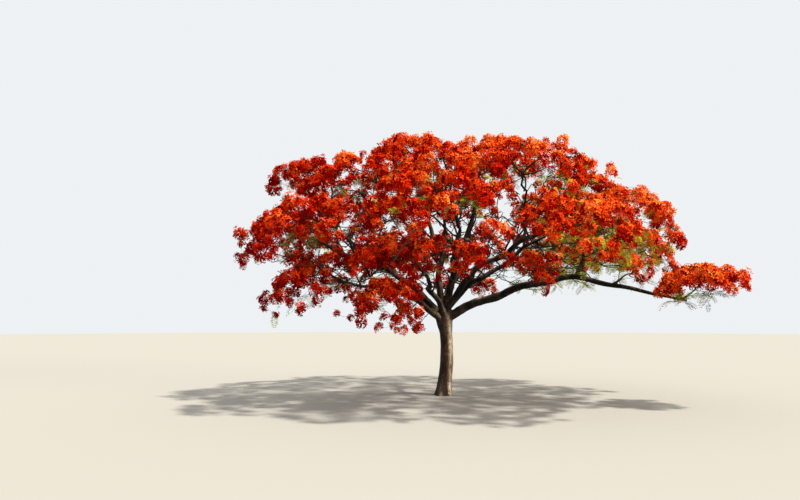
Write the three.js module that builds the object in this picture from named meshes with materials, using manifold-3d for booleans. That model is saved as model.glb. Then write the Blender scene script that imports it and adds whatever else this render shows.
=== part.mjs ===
// A flame tree in full blossom, whole, on level ground. A short trunk forks low into boughs that arch
// outwards, and each bough ends in a flat mass of twigs that carry trusses of five-petalled blossom and
// feathery leaves. Millimetres, +Z up, +X to the right of the tree's best side and +Y away from it. The
// origin is the middle of the flat cut under the trunk.
import * as THREE from "three";
import { mergeVertices } from "three/addons/utils/BufferGeometryUtils.js";
import Module from "manifold-3d";

const wasm = await Module();
wasm.setup();

const CLEARANCE = 0.3; // between any two pieces that meet

// The crown is half an ellipsoid, flattened on top, over the trunk's head.
const CROWN = {
  middle: new THREE.Vector3(290, -260, 0),
  halfLength: 4840,
  halfDepth: 4720,
  top: 5770,
  rim: 2080,
  roundness: 0.53,
};

const TRUNK = {
  height: 1980,
  foot: 172, // radius at the ground, inside the root flare
  waist: 146,
  head: 196, // radius under the fork
  tip: 75,
  flare: 70,
  flareHeight: 170,
  flareLeft: 0.65, // how much further the flare reaches on the left than in the middle
  lean: 60,
};
const TRUNK_RIBS = 5; // buttresses of the root flare
const BARK = { color: 0x7d6a58, roughness: 0.9, metalness: 0 };
const BLOSSOM = { color: 0xd7280c, roughness: 0.65, metalness: 0 };

// The crown's three rings of masses. share is how far out they stand, from the crown's middle to its rim, and
// it waves in and out round each ring.
const RINGS = [
  { name: "rim", count: 10, share: 0.82, turn: 0.12, halfWidth: 1110, halfHeight: 530, wave: 0.07 },
  { name: "shoulder", count: 8, share: 0.59, turn: 0.64, halfWidth: 1150, halfHeight: 450, wave: 0.07 },
  { name: "crest", count: 4, share: 0.3, turn: 0.72, halfWidth: 1090, halfHeight: 430, wave: 0.1 },
];
const RING_WAVE = { perMass: 2.4, perRing: 1.8, start: 0.8 };

// Masses that stand outside the rings: the tip of the long right bough, the low skirts on the left, the one
// high on the left, and those that fill the crown's near side.
const OUTLIERS = [
  { name: "far_right", at: [4900, -2150, 2300], halfWidth: 840, halfHeight: 420, tilt: 0 },
  { name: "low_left", at: [-2750, -1500, 2440], halfWidth: 1210, halfHeight: 510, tilt: 0.43 },
  { name: "hanging_left", at: [-1350, -2300, 2170], halfWidth: 650, halfHeight: 320, tilt: 0.3 },
  { name: "skirt_left", at: [-1000, -1800, 2910], halfWidth: 830, halfHeight: 480, tilt: 0.47 },
  { name: "upper_left", at: [-3100, -450, 4870], halfWidth: 950, halfHeight: 400, tilt: 0.12 },
  { name: "middle_right", at: [2660, -1600, 3520], halfWidth: 1130, halfHeight: 510, tilt: 0.34 },
  { name: "front", at: [-550, -1800, 4240], halfWidth: 1200, halfHeight: 370, tilt: 0.04 },
];

// Boughs that leave the trunk itself. leaves is where on the trunk's line each one starts, and the two lifts
// raise its near and its far part above the straight way, as shares of its length.
const MAIN_BOUGHS = [
  { mass: "far_right", leaves: 0.84, base: 110, lifts: [0.2, 0.13], crook: 0.026 },
  { mass: "rim_5", leaves: 0.88, base: 94, lifts: [0.14, 0.05], crook: 0.04 },
  { mass: "low_left", leaves: 0.79, base: 84, lifts: [0.22, 0.08], crook: 0.04 },
  { mass: "skirt_left", leaves: 0.85, base: 78, lifts: [0.1, 0.08], crook: 0.05 },
  { mass: "rim_8", leaves: 0.91, base: 84, lifts: [0.2, 0.06], crook: 0.04 },
  { mass: "rim_2", leaves: 0.92, base: 86, lifts: [0.16, 0.08], crook: 0.04 },
  { mass: "middle_right", leaves: 0.93, base: 80, lifts: [0.14, 0.02], crook: 0.05 },
  { mass: "crest_1", leaves: 0.95, base: 88, lifts: [0.02, -0.04], crook: 0.04 },
  { mass: "crest_3", leaves: 0.96, base: 92, lifts: [0.02, -0.06], crook: 0.045 },
];

// How limbs wander on their way, in waves of so many radians from foot to tip. The rise and the finer waves
// are shares of the swing.
const CROOK = { asideWaves: 11.5, riseWaves: 9.5, riseShare: 0.7, fineWaves: 27, fineShare: 0.35 };

// Every other bough leaves the limb that gives it the shortest way.
const SIDE_BOUGH = {
  lifts: [0.12, 0.03],
  crook: 0.055,
  thickest: 0.7, // of the limb that it leaves, there
  stout: 40,
  perMetre: 14,
  nearest: 0.2,
  furthest: 0.78,
  wayBack: 0.45, // what a way along the parent costs, beside one through the air
};
const BOUGH_TIP = 27;
const BOUGH_TAPER = 0.85;
const SIDES = { trunk: 15, mainBough: 7, sideBough: 5 };

// What grows in a mass. A twig leaves an earlier one at one of the forks, as shares of that one's length.
const PLACES_PER_MASS = 15;
const TWIG = { tip: 6, perMetre: 20, thickest: 0.75, forks: [0.35, 0.6, 0.8], wayBack: 0.5 };
const STEM = { length: 180, tip: 24 };
const TRUSS = { petals: 5, reach: 330, dome: 120, neck: 40 };
const LEAF = { length: 450, halfWidth: 75, halfThickness: 6, droop: 0.45, chance: 0.3 };

// Park and Miller's generator, so that each piece grows the same way every time.
function seeded(seed) {
  let state = seed;
  return () => {
    state = (state * 16807) % 2147483647;
    return state / 2147483647;
  };
}

function domeHeight(share) {
  return CROWN.rim + (CROWN.top - CROWN.rim) * (1 - share * share) ** CROWN.roundness;
}

// A mass is a tilted, flattened ellipsoid: out and across lie in its plane, and up is its short way.
function massAt(name, middle, halfWidth, halfHeight, tilt, seed) {
  const level = new THREE.Vector3(middle.x - CROWN.middle.x, middle.y - CROWN.middle.y, 0).normalize();
  const across = new THREE.Vector3(-level.y, level.x, 0);
  const out = level.clone().multiplyScalar(Math.cos(tilt)).setZ(-Math.sin(tilt));
  const up = out.clone().cross(across).normalize();
  return { name, middle, halfWidth, halfHeight, out, across, up, seed };
}

function ringMasses(ring, ringIndex) {
  return Array.from({ length: ring.count }, (_, k) => {
    const bearing = ring.turn + (2 * Math.PI * k) / ring.count;
    const swing = RING_WAVE.perMass * k + RING_WAVE.perRing * ringIndex + RING_WAVE.start;
    const share = ring.share * (1 + ring.wave * Math.sin(swing));
    const middle = new THREE.Vector3(
      CROWN.middle.x + CROWN.halfLength * share * Math.cos(bearing),
      CROWN.middle.y + CROWN.halfDepth * share * Math.sin(bearing),
      domeHeight(share) - ring.halfHeight,
    );
    const nearby = 0.05;
    const drop = domeHeight(share - nearby) - domeHeight(share + nearby);
    const tilt = 0.5 * Math.atan(drop / (2 * nearby * CROWN.halfLength));
    const seed = 101 + 40 * ringIndex + k;
    return massAt(`${ring.name}_${k}`, middle, ring.halfWidth, ring.halfHeight, tilt, seed);
  });
}

function allMasses() {
  const ringed = RINGS.flatMap(ringMasses);
  const outliers = OUTLIERS.map(({ name, at, halfWidth, halfHeight, tilt }, k) =>
    massAt(name, new THREE.Vector3(...at), halfWidth, halfHeight, tilt, 301 + k),
  );
  return [...outliers, ...ringed];
}

// Where a bough enters its mass: low on the side that faces the trunk.
function entryOf(mass) {
  const INWARDS = 0.5;
  const DOWN = 0.45;
  return mass.middle
    .clone()
    .addScaledVector(mass.out, -INWARDS * mass.halfWidth)
    .addScaledVector(mass.up, -DOWN * mass.halfHeight);
}

function waved(waves, s, turn) {
  return Math.sin(waves * s + turn) + CROOK.fineShare * Math.sin(CROOK.fineWaves * s + 2 * turn);
}

// A limb is its line and its radius, both from 0 at the foot to 1 at the tip.
function boughTo(mass, from, { base, lifts, crook }) {
  const to = entryOf(mass);
  const length = from.distanceTo(to);
  const near = from.clone().lerp(to, 0.3).setZ(from.z + 0.3 * (to.z - from.z) + lifts[0] * length);
  const far = from.clone().lerp(to, 0.7).setZ(from.z + 0.7 * (to.z - from.z) + lifts[1] * length);
  const line = new THREE.CubicBezierCurve3(from, near, far, to);
  const aside = new THREE.Vector3(from.y - to.y, to.x - from.x, 0).normalize();
  const random = seeded(mass.seed + 500);
  const [turnA, turnB] = [2 * Math.PI * random(), 2 * Math.PI * random()];
  const curveAt = (s) => {
    const swing = crook * length * Math.sin(Math.PI * s);
    const sideways = swing * waved(CROOK.asideWaves, s, turnA);
    const upwards = CROOK.riseShare * swing * waved(CROOK.riseWaves, s, turnB);
    const point = line.getPoint(s).addScaledVector(aside, sideways);
    return point.setZ(point.z + upwards);
  };
  const STEP = 480;
  const steps = Math.max(4, Math.round(length / STEP));
  const bends = Array.from({ length: steps + 1 }, (_, k) => curveAt(k / steps));
  const pointAt = (s) => {
    const k = Math.min(steps - 1, Math.floor(s * steps));
    return bends[k].clone().lerp(bends[k + 1], s * steps - k);
  };
  const radiusAt = (s) => BOUGH_TIP + (base - BOUGH_TIP) * (1 - s) ** BOUGH_TAPER;
  return { name: `bough_${mass.name}`, pointAt, radiusAt, length, steps };
}

function trunkLimb() {
  const { height, foot, waist, head, tip, lean } = TRUNK;
  const WAIST_AT = 0.7;
  const HEAD_AT = 0.86;
  const swayAt = (s) => lean * (Math.sin(Math.PI * s) ** 2 - 0.3 * s * s);
  const pointAt = (s) => new THREE.Vector3(swayAt(s), 0, height * s);
  const radiusAt = (s) => {
    if (s < WAIST_AT) return foot + (waist - foot) * Math.sin((Math.PI / 2) * (s / WAIST_AT));
    if (s < HEAD_AT) return waist + (head - waist) * ((s - WAIST_AT) / (HEAD_AT - WAIST_AT));
    return head + (tip - head) * ((s - HEAD_AT) / (1 - HEAD_AT)) ** 2;
  };
  return { name: "trunk", pointAt, radiusAt, length: height, steps: 11 };
}

// Rings of a limb, each with its middle and the two ways across it, turned as little as can be between rings.
function ringsOf(limb, grow) {
  const rings = [];
  let side = new THREE.Vector3(1, 0, 0);
  for (let k = 0; k <= limb.steps; k++) {
    const s = k / limb.steps;
    const before = limb.pointAt(Math.max(0, s - 0.01));
    const along = limb.pointAt(Math.min(1, s + 0.01)).sub(before).normalize();
    if (limb.name === "trunk") along.set(0, 0, 1);
    side = side.clone().addScaledVector(along, -side.dot(along)).normalize();
    const middle = limb.pointAt(s);
    if (k === 0) middle.addScaledVector(along, -grow);
    if (k === limb.steps) middle.addScaledVector(along, grow);
    rings.push({ middle, side, third: side.clone().cross(along), radius: limb.radiusAt(s) + grow });
  }
  return rings;
}

// A cylinder bent along the limb and tapered with it.
function limbGeometry(limb, sides, grow = 0, ribs = null) {
  const shape = new THREE.CylinderGeometry(1, 1, 1, sides, limb.steps);
  const rings = ringsOf(limb, grow);
  const at = shape.attributes.position;
  for (let i = 0; i < at.count; i++) {
    const [x, y, z] = [at.getX(i), at.getY(i), at.getZ(i)];
    const { middle, side, third, radius } = rings[Math.round((y + 0.5) * limb.steps)];
    const reach = radius + (ribs ? ribs(Math.atan2(z, x), middle.z) : 0);
    const point = middle.clone().addScaledVector(side, x * reach).addScaledVector(third, z * reach);
    at.setXYZ(i, point.x, point.y, point.z);
  }
  return shape;
}

// The root flare dies away upwards and stands out in rounded buttresses.
function rootRibs(angle, height) {
  const rise = Math.max(0, height) / TRUNK.flareHeight;
  const buttress = 0.55 + 0.45 * Math.cos(TRUNK_RIBS * angle + 0.6);
  return TRUNK.flare * Math.exp(-rise) * buttress * (1 - TRUNK.flareLeft * Math.cos(angle));
}

function solidFrom(geometry) {
  const bare = new THREE.BufferGeometry().setAttribute("position", geometry.getAttribute("position"));
  bare.setIndex(geometry.index);
  const merged = mergeVertices(bare, 1e-3);
  return new wasm.Manifold(
    new wasm.Mesh({
      numProp: 3,
      vertProperties: merged.attributes.position.array,
      triVerts: new Uint32Array(merged.index.array),
    }),
  );
}

function meshFrom(name, solid, look) {
  const made = solid.getMesh();
  const geometry = new THREE.BufferGeometry();
  const positions = new Float32Array(made.numVert * 3);
  for (let i = 0; i < made.numVert; i++) {
    positions.set(made.vertProperties.subarray(i * made.numProp, i * made.numProp + 3), i * 3);
  }
  geometry.setAttribute("position", new THREE.BufferAttribute(positions, 3));
  geometry.setIndex(new THREE.BufferAttribute(made.triVerts, 1));
  geometry.computeVertexNormals();
  const mesh = new THREE.Mesh(geometry, new THREE.MeshStandardMaterial(look));
  mesh.name = name;
  return mesh;
}

// The largest piece of a solid: scraps that a cut left loose, and hollows that a join sealed, are dropped.
function largest(solid) {
  return solid.decompose().reduce((best, piece) => (piece.volume() > best.volume() ? piece : best));
}

function boxesMeet(a, b) {
  return [0, 1, 2].every((i) => a.min[i] <= b.max[i] && b.min[i] <= a.max[i]);
}

function touchesAny(piece, others) {
  const box = piece.boundingBox();
  return others.some((other) => boxesMeet(box, other.box) && !piece.intersect(other.guard).isEmpty());
}

// Whether a twig shares more with the earlier pieces of its mass than a root that is sunk in one twig does.
function runsThrough(solid, radius, pieces) {
  const ROOT = 12;
  const box = solid.boundingBox();
  const near = pieces.filter((piece) => boxesMeet(box, piece.boundingBox()));
  return near.reduce((sum, piece) => sum + piece.intersect(solid).volume(), 0) > ROOT * radius ** 3;
}

// The way out of a limb that costs least: through the air from a point of it, and along it from its own foot.
function bestParent(mass, limbs) {
  const to = entryOf(mass);
  let best = { cost: Infinity };
  for (const limb of limbs) {
    for (let s = SIDE_BOUGH.nearest; s <= SIDE_BOUGH.furthest; s += 0.02) {
      const from = limb.pointAt(s);
      const cost = from.distanceTo(to) + SIDE_BOUGH.wayBack * (limb.wayBefore + s * limb.length);
      if (cost < best.cost) best = { cost, limb, s, from };
    }
  }
  return best;
}

// Each limb is cut clear of those that were made before it.
function addLimb(limb, sides, made, ribs = null) {
  let solid = solidFrom(limbGeometry(limb, sides, 0, ribs));
  for (const other of made) {
    if (boxesMeet(solid.boundingBox(), other.box)) solid = solid.subtract(other.guard);
  }
  const guard = solidFrom(limbGeometry(limb, sides, CLEARANCE, ribs));
  made.push({ ...limb, solid: largest(solid), guard, box: guard.boundingBox() });
}

function allLimbs(masses) {
  const made = [];
  const trunk = trunkLimb();
  addLimb(trunk, SIDES.trunk, made, rootRibs);
  const open = [];
  for (const bough of MAIN_BOUGHS) {
    const mass = masses.find((m) => m.name === bough.mass);
    const limb = boughTo(mass, trunk.pointAt(bough.leaves), bough);
    open.push({ ...limb, wayBefore: 0 });
    addLimb(limb, SIDES.mainBough, made);
  }
  const reached = new Set(MAIN_BOUGHS.map((bough) => bough.mass));
  for (const mass of masses.filter((m) => !reached.has(m.name))) {
    const { limb: parent, s, from } = bestParent(mass, open);
    const length = from.distanceTo(entryOf(mass));
    const wanted = SIDE_BOUGH.stout + SIDE_BOUGH.perMetre * (length / 1000);
    const base = Math.min(SIDE_BOUGH.thickest * parent.radiusAt(s), wanted);
    const limb = boughTo(mass, from, { ...SIDE_BOUGH, base });
    open.push({ ...limb, wayBefore: parent.wayBefore + s * parent.length });
    addLimb(limb, SIDES.sideBough, made);
  }
  return made;
}

// Space is shared out by planes between neighbours, with heights stretched so that flat masses count as
// round.
function spaceOf(mass, masses) {
  const STRETCH = 2.3;
  const stretched = (p) => new THREE.Vector3(p.x, p.y, p.z * STRETCH);
  const own = stretched(mass.middle);
  const walls = masses
    .filter((other) => other !== mass)
    .map((other) => {
      const way = stretched(other.middle).sub(own);
      const share = mass.halfWidth / (mass.halfWidth + other.halfWidth);
      return { normal: way.clone().normalize(), reach: way.length() * share };
    });
  return (point, room) => {
    const p = stretched(point).sub(own);
    return walls.every(({ normal, reach }) => p.dot(normal) + room < reach);
  };
}

// Places for the trusses, spread over the mass on a golden spiral and lifted to its domed top.
function placesIn(mass, random) {
  const GOLDEN = 2.399963;
  const LIFT = 0.9;
  const DROOP = 0.83;
  const start = 2 * Math.PI * random();
  return Array.from({ length: PLACES_PER_MASS }, (_, k) => {
    const share = Math.sqrt((k + 0.6) / PLACES_PER_MASS) * 0.95;
    const angle = start + GOLDEN * k;
    const lift = LIFT * Math.sqrt(1 - share * share) - DROOP * random() * share;
    return mass.middle
      .clone()
      .addScaledVector(mass.out, mass.halfWidth * share * Math.cos(angle))
      .addScaledVector(mass.across, mass.halfWidth * share * Math.sin(angle))
      .addScaledVector(mass.up, mass.halfHeight * lift);
  });
}

// The branching rule. Each place, from the middle outwards, is reached from the fork that costs least: the
// way to it through the air, and part of the way back along the twigs. A place that can't be carried is
// passed over.
function growTwigs(stem, places, canCarry) {
  const twigs = [stem];
  for (const to of places) {
    let best = { cost: Infinity };
    for (const parent of twigs) {
      for (const share of TWIG.forks) {
        const from = parent.from.clone().lerp(parent.to, share);
        const way = parent.way + share * parent.from.distanceTo(parent.to);
        const cost = from.distanceTo(to) + TWIG.wayBack * way;
        const room = parent.base + (parent.tip - parent.base) * share;
        if (cost < best.cost) best = { cost, from, way, room };
      }
    }
    const wanted = TWIG.tip + TWIG.perMetre * (best.from.distanceTo(to) / 1000);
    const base = Math.max(TWIG.tip, Math.min(TWIG.thickest * best.room, wanted));
    const twig = { from: best.from, to, way: best.way, base, tip: TWIG.tip };
    if (canCarry(twig)) twigs.push(twig);
  }
  return twigs;
}

function turnedTo(along) {
  return new THREE.Quaternion().setFromUnitVectors(new THREE.Vector3(0, 1, 0), along);
}

// A mass's stem goes on from the tip of its bough.
function stemOf(mass, limbs) {
  const bough = limbs.find((limb) => limb.name === `bough_${mass.name}`);
  const end = bough.pointAt(1);
  const heading = end.clone().sub(bough.pointAt(0.99)).normalize();
  const from = end.clone().addScaledVector(heading, CLEARANCE);
  const to = from.clone().addScaledVector(heading, STEM.length);
  const stem = { from, to, way: 0, base: BOUGH_TIP, tip: STEM.tip };
  const guard = stemSolid(stem, CLEARANCE);
  return { ...stem, guard, box: guard.boundingBox() };
}

function stemSolid({ from, to, base, tip }, grow = 0) {
  const length = from.distanceTo(to);
  const shape = new THREE.CylinderGeometry(tip + grow, base + grow, length, TRUSS.petals, 1);
  shape.translate(0, length / 2, 0);
  shape.applyQuaternion(turnedTo(to.clone().sub(from).normalize()));
  shape.translate(from.x, from.y, from.z);
  return solidFrom(shape);
}

// A twig with its truss: a thin cone that spreads at its tip into a shallow dome of five petals. The dome
// faces halfway between the twig's way and up, the way up of the mass.
function twigSolid({ from, to, base, tip }, up, spin) {
  const along = to.clone().sub(from).normalize();
  const facing = along.clone().add(up).normalize();
  const neck = to.clone().addScaledVector(along, -TRUSS.neck);
  const apex = to.clone().addScaledVector(facing, TRUSS.dome);
  const rings = [
    { middle: from, radius: base, turn: turnedTo(along) },
    { middle: neck, radius: tip, turn: turnedTo(along) },
    { middle: to, radius: TRUSS.reach, turn: turnedTo(facing) },
  ];
  const shape = new THREE.CylinderGeometry(1, 1, 2, TRUSS.petals, rings.length - 1);
  shape.rotateY(spin);
  const at = shape.attributes.position;
  for (let i = 0; i < at.count; i++) {
    const [x, z] = [at.getX(i), at.getZ(i)];
    const ring = Math.round(at.getY(i) + 1);
    const { middle, radius, turn } = rings[ring];
    const isApex = ring === rings.length - 1 && Math.hypot(x, z) < 0.1;
    const point = new THREE.Vector3(x * radius, 0, z * radius).applyQuaternion(turn).add(middle);
    if (isApex) point.copy(apex);
    at.setXYZ(i, point.x, point.y, point.z);
  }
  return solidFrom(shape);
}

// A leaf stands for a spray of feathery ones: a long thin blade of eight faces with its root in the twig.
function leafSolid(root, along, mass) {
  const shape = new THREE.SphereGeometry(1, 4, 2);
  shape.scale(LEAF.halfWidth, LEAF.length / 2, LEAF.halfThickness);
  shape.translate(0, LEAF.length / 2, 0);
  const across = along.clone().cross(mass.up).normalize();
  const flat = across.clone().cross(along);
  shape.applyMatrix4(new THREE.Matrix4().makeBasis(across, along, flat).setPosition(root));
  return solidFrom(shape);
}

// others are the limbs, stems and masses that this one keeps clear of.
function massSolid(mass, masses, stem, others) {
  const random = seeded(mass.seed);
  const inSpace = spaceOf(mass, masses);
  const pieces = [stemSolid(stem)];
  const canCarry = (twig) => {
    const solid = twigSolid(twig, mass.up, 2 * Math.PI * random());
    if (touchesAny(solid, others) || runsThrough(solid, twig.base, pieces)) return false;
    pieces.push(solid);
    return true;
  };
  const places = placesIn(mass, random).filter((place) => inSpace(place, TRUSS.reach));
  for (const twig of growTwigs(stem, places, canCarry).slice(1)) {
    const along = twig.to.clone().sub(twig.from).normalize();
    const turned = along.applyAxisAngle(mass.up, random() < 0.5 ? 0.9 : -0.9);
    turned.addScaledVector(mass.up, -LEAF.droop * random()).normalize();
    const root = twig.from.clone().lerp(twig.to, 0.5);
    const clear = inSpace(root.clone().addScaledVector(turned, LEAF.length), LEAF.halfWidth);
    if (random() > LEAF.chance || !clear) continue;
    const leaf = leafSolid(root, turned, mass);
    if (!touchesAny(leaf, others)) pieces.push(leaf);
  }
  return largest(pieces.reduce((whole, piece) => whole.add(piece)));
}

const tree = new THREE.Group();
const masses = allMasses();
const limbs = allLimbs(masses);
for (const limb of limbs) tree.add(meshFrom(limb.name, limb.solid, BARK));
const stems = masses.map((mass) => stemOf(mass, limbs));
const grown = [];
for (const [k, mass] of masses.entries()) {
  const others = [...limbs, ...stems.filter((_, other) => other !== k), ...grown];
  const solid = massSolid(mass, masses, stems[k], others);
  grown.push({ guard: solid, box: solid.boundingBox() });
  tree.add(meshFrom(`blossom_${mass.name}`, solid, BLOSSOM));
}

export default tree;
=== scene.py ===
# A flame tree in full blossom, dressed over its plain solids. Its limbs, and the masses at their ends, grow
# by the same seeded rule as the solids, and the rule is carried on to finer twigs, which hold trusses of
# flowers and feathery leaves. Metres, +Z up, +X to the right of the tree's best side and +Y away from it.
import math
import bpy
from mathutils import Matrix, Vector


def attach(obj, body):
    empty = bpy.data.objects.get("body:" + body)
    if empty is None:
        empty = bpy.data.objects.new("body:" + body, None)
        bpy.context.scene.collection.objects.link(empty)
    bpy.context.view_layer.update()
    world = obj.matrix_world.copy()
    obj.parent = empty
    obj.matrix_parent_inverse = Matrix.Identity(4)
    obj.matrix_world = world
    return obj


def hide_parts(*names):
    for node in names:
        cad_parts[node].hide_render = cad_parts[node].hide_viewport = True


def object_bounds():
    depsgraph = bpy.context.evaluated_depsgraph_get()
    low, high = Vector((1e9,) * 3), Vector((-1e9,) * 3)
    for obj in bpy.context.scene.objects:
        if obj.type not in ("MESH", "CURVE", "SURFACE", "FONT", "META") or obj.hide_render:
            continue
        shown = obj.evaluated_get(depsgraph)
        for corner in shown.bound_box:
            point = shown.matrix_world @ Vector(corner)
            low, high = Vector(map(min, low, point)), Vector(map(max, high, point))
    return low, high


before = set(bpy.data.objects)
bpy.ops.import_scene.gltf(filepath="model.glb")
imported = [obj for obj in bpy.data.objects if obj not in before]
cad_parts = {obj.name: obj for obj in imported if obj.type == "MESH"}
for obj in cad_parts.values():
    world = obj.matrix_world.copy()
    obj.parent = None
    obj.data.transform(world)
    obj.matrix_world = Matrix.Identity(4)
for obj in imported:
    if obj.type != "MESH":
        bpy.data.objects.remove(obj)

from types import SimpleNamespace as Named

import bpy
import numpy as np
from mathutils import Vector, noise
from mathutils.kdtree import KDTree

CAD_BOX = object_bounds()

# The tree's driving sizes, the same as those of its solids.
CLEARANCE = 0.0003
CROWN = Named(
    middle=np.array([0.29, -0.26, 0.0]), half_length=4.84, half_depth=4.72, top=5.77, rim=2.08, roundness=0.53
)
TRUNK = Named(
    height=1.98, foot=0.172, waist=0.146, waist_at=0.7, head=0.196, head_at=0.86, tip=0.075, lean=0.06,
    flare=0.07, flare_height=0.17, flare_left=0.65, flare_ends=1.2, ribs=5, ribs_turn=0.6,
)
RINGS = [
    Named(name="rim", count=10, share=0.82, turn=0.12, half_width=1.11, half_height=0.53, wave=0.07),
    Named(name="shoulder", count=8, share=0.59, turn=0.64, half_width=1.15, half_height=0.45, wave=0.07),
    Named(name="crest", count=4, share=0.3, turn=0.72, half_width=1.09, half_height=0.43, wave=0.1),
]
SEEDS = Named(rings=101, per_ring=40, outliers=301, boughs=500, all_else=2024)
RING_WAVE = Named(per_mass=2.4, per_ring=1.8, start=0.8)
OUTLIERS = [
    Named(name="far_right", at=(4.9, -2.15, 2.3), half_width=0.84, half_height=0.42, tilt=0),
    Named(name="low_left", at=(-2.75, -1.5, 2.44), half_width=1.21, half_height=0.51, tilt=0.43),
    Named(name="hanging_left", at=(-1.35, -2.3, 2.17), half_width=0.65, half_height=0.32, tilt=0.3),
    Named(name="skirt_left", at=(-1.0, -1.8, 2.91), half_width=0.83, half_height=0.48, tilt=0.47),
    Named(name="upper_left", at=(-3.1, -0.45, 4.87), half_width=0.95, half_height=0.4, tilt=0.12),
    Named(name="middle_right", at=(2.66, -1.6, 3.52), half_width=1.13, half_height=0.51, tilt=0.34),
    Named(name="front", at=(-0.55, -1.8, 4.24), half_width=1.2, half_height=0.37, tilt=0.04),
]
MAIN_BOUGHS = [
    Named(mass="far_right", leaves=0.84, base=0.11, lifts=(0.2, 0.13), crook=0.026),
    Named(mass="rim_5", leaves=0.88, base=0.094, lifts=(0.14, 0.05), crook=0.04),
    Named(mass="low_left", leaves=0.79, base=0.084, lifts=(0.22, 0.08), crook=0.04),
    Named(mass="skirt_left", leaves=0.85, base=0.078, lifts=(0.1, 0.08), crook=0.05),
    Named(mass="rim_8", leaves=0.91, base=0.084, lifts=(0.2, 0.06), crook=0.04),
    Named(mass="rim_2", leaves=0.92, base=0.086, lifts=(0.16, 0.08), crook=0.04),
    Named(mass="middle_right", leaves=0.93, base=0.08, lifts=(0.14, 0.02), crook=0.05),
    Named(mass="crest_1", leaves=0.95, base=0.088, lifts=(0.02, -0.04), crook=0.04),
    Named(mass="crest_3", leaves=0.96, base=0.092, lifts=(0.02, -0.06), crook=0.045),
]
CROOK = Named(aside_waves=11.5, rise_waves=9.5, rise_share=0.7, fine_waves=27, fine_share=0.35)
SIDE_BOUGH = Named(
    lifts=(0.12, 0.03), crook=0.055, thickest=0.7, stout=0.04, per_metre=0.014, nearest=0.2, furthest=0.78,
    way_back=0.45,
)
BOUGH_TIP = 0.027
BOUGH_TAPER = 0.85
BEND_EVERY = 0.48
ENTRY = Named(inwards=0.5, down=0.45)
PLACES_PER_MASS = 15
LIFT = Named(dome=0.9, droop=0.83)
TWIG = Named(tip=0.006, per_metre=0.02, thickest=0.75, forks=(0.35, 0.6, 0.8), way_back=0.5)
STEM = Named(length=0.18, tip=0.024)
DOME = Named(reach=0.33, height=0.12)
GOLDEN = 2.399963

# What the finer growth adds: the trusses that stand for one broad dome, and how high they rise and fall.
CLUSTER = Named(trusses=5, spread=0.62, first=0.4, turn=0.5, top=0.9, fall=1.4, sunk=0.12)
# Single trusses between the domes. They hang lower on the left and in the low masses, and each of these two
# grows from 0 to 1 over the length given.
FILL = Named(
    places=34, room=0.05, apart=0.36, jitter=0.13, rise=0.2, dome=0.9, droop=0.8, droop_left=0.35,
    droop_low=0.4, left_from=0.5, left_over=3.0, low_from=3.3, low_over=1.2,
)
# Twigs between the boughs and the masses over them. The first fifth of a bough carries none.
# level is how high in a mass their trusses count as standing for their painted light, which paints them
# fairly pale.
INNER = Named(
    places=900, furthest=0.88, lowest=2.5, under=0.5, room=0.06, tip=0.01, per_metre=0.034, flowering=0.15,
    trusses=6, level=0.7, seed=41, span=0.3, bare_part=5,
)
HANGING = Named(highest=2.7, right=-0.6, first=0.3, spacing=0.09, drop=(0.3, 0.95), aside=0.3)
FINE_TIP = 0.0026
BENDS = Named(share=(0.4, 1.3), wind=0.6)

# A flower is 1 in radius before it is sized, and so is a truss.
PETALS = 5
PETAL = Named(
    askew=0.12, lift=(0.35, 0.8), curl=(-0.15, 0.3), twist=0.14, broad=(0.22, 0.32), heart=0.06, widest=0.62,
    reach=(1.0, 1.25),
)
FLOWER_KINDS = 6
# shade paints the flowers high in a truss paler and the low ones deeper: painted light and shade.
TRUSS = Named(
    smallest=0.09, largest=0.18, flowers=20, inner=4, kinds=8, shade=0.36, past=0.18, outermost=1.3,
    upwards=1.1,
)
TRUSS_DOME = Named(round=1.35, askew=0.3, flowers_at=(0.4, 0.8), sizes=(0.27, 0.42), upwards=0.15)
# The broader flowers inside a truss get a deeper tint, as painted shade inside the truss.
INNER_FLOWER = Named(at=0.2, size=0.55, tint=-0.45)

# How many leaves grow on each kind of twig, and how many more where x is near the middle given, on the right.
# A leaf is 1 long before it is sized.
LEAFY = Named(
    places=20, lift=-0.1, droop=0.75, middle=3.5, half_width=1.7, under=3.0, behind=0.12, inner=2.2,
    least=0.5, more=2.6, room=0.02,
)
LEAF = Named(
    shortest=0.18, longest=0.32, pairs=8, kinds=6, from_twig=0.35, onwards=0.6, sinks=0.5, tilt=0.5, bow=0.1,
    droop=0.16, rib=0.012, narrowing=0.7,
)
PINNA = Named(
    first=0.16, reach=0.34, uneven=(0.9, 1.1), ahead=0.4, more_ahead=0.3, sinks=(-0.5, 0.15), broad=0.03
)


def seeded(seed):
    """Park and Miller's generator, so that each piece grows the same way every time."""
    state = seed

    def draw():
        nonlocal state
        state = state * 16807 % 2147483647
        return state / 2147483647

    return draw


def unit(v):
    return v / np.linalg.norm(v, axis=-1, keepdims=True)


def dome_height(share):
    return CROWN.rim + (CROWN.top - CROWN.rim) * (1 - share * share) ** CROWN.roundness


def mass_at(name, middle, half_width, half_height, tilt, seed):
    """A mass is a tilted, flattened ellipsoid: out and across lie in its plane, and up is its short way."""
    middle = np.array(middle, float)
    level = unit((middle - CROWN.middle) * np.array([1.0, 1.0, 0.0]))
    across = np.array([-level[1], level[0], 0.0])
    out = level * math.cos(tilt) + np.array([0, 0, -math.sin(tilt)])
    up = unit(np.cross(out, across))
    return Named(
        name=name, middle=middle, half_width=half_width, half_height=half_height, out=out, across=across,
        up=up, seed=seed,
    )


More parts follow.
